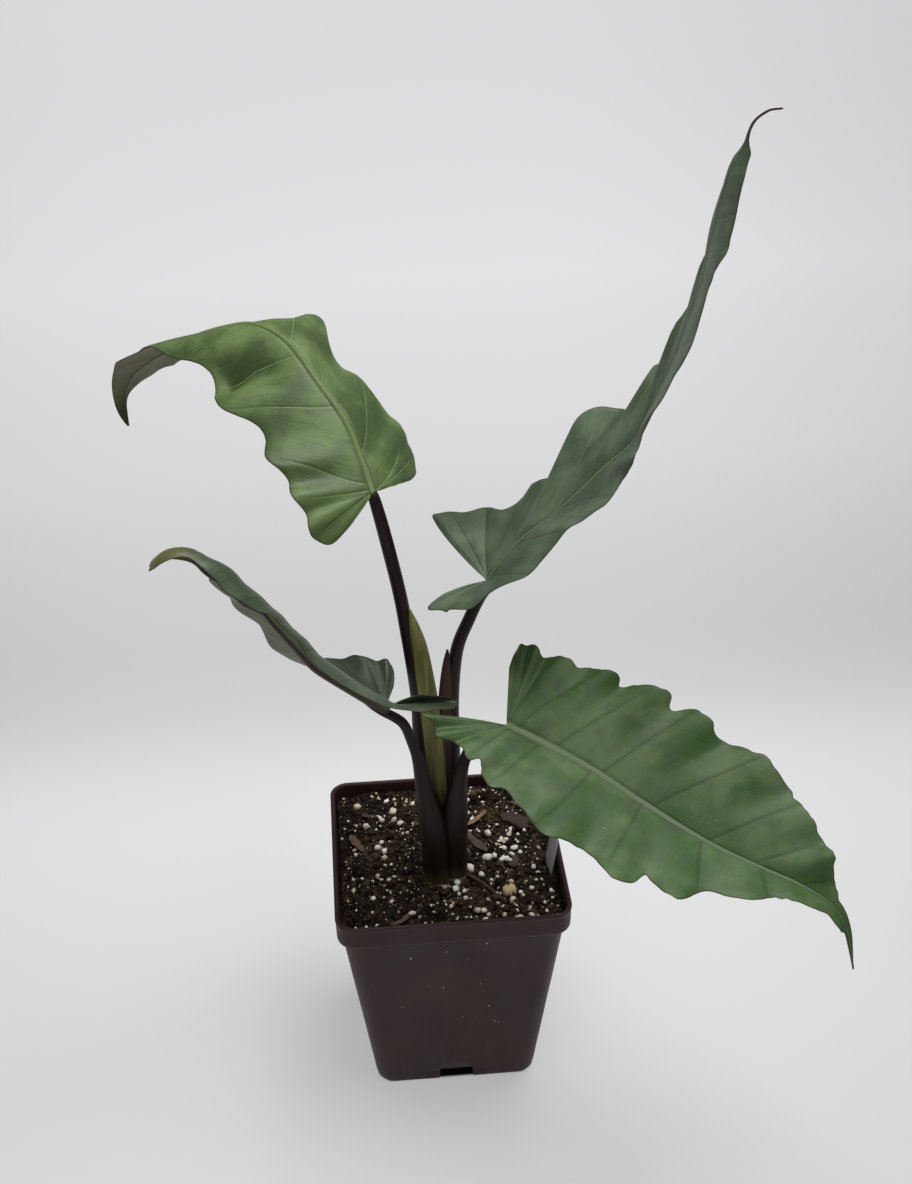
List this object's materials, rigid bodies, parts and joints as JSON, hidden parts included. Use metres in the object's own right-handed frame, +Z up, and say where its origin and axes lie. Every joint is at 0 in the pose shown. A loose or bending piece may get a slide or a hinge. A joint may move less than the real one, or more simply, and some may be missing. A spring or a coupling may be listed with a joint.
{
  "type": "potted alocasia lauterbachiana",
  "caption": "Young aroid house plant with long arrow-shaped, wavy-edged leaves on dark upright stems, in soil in a square nursery pot.",
  "frame": {"origin": "centre of the pot's underside, where the pot stands", "axes": "+Z up, -Y towards the viewer of the picture, +X to the picture's right"},
  "size_m": [0.3058, 0.2475, 0.4785],
  "materials": {
    "pot_plastic": "satin moulded plastic, dark brown, with fine scuffs",
    "soil_mix": "damp dark bark and peat mix with white perlite grains",
    "corm_skin": "matt brown fibrous skin",
    "label_plastic": "smooth white, blank",
    "stem_skin": "satin, near-black purple brown, yellow green on one sheath",
    "leaf_skin": "satin grey green with paler veins, grey brown underside"
  },
  "bodies": {
    "root": {"pot": "pot_plastic", "soil": "soil_mix", "corm": "corm_skin", "label": "label_plastic", "petiole_upper_left": "stem_skin", "petiole_tall_right": "stem_skin", "petiole_lower_left": "stem_skin", "petiole_lower_right": "stem_skin", "blade_upper_left": "leaf_skin", "blade_tall_right": "leaf_skin", "blade_lower_left": "leaf_skin", "blade_lower_right": "leaf_skin"}
  },
  "joints": []
}
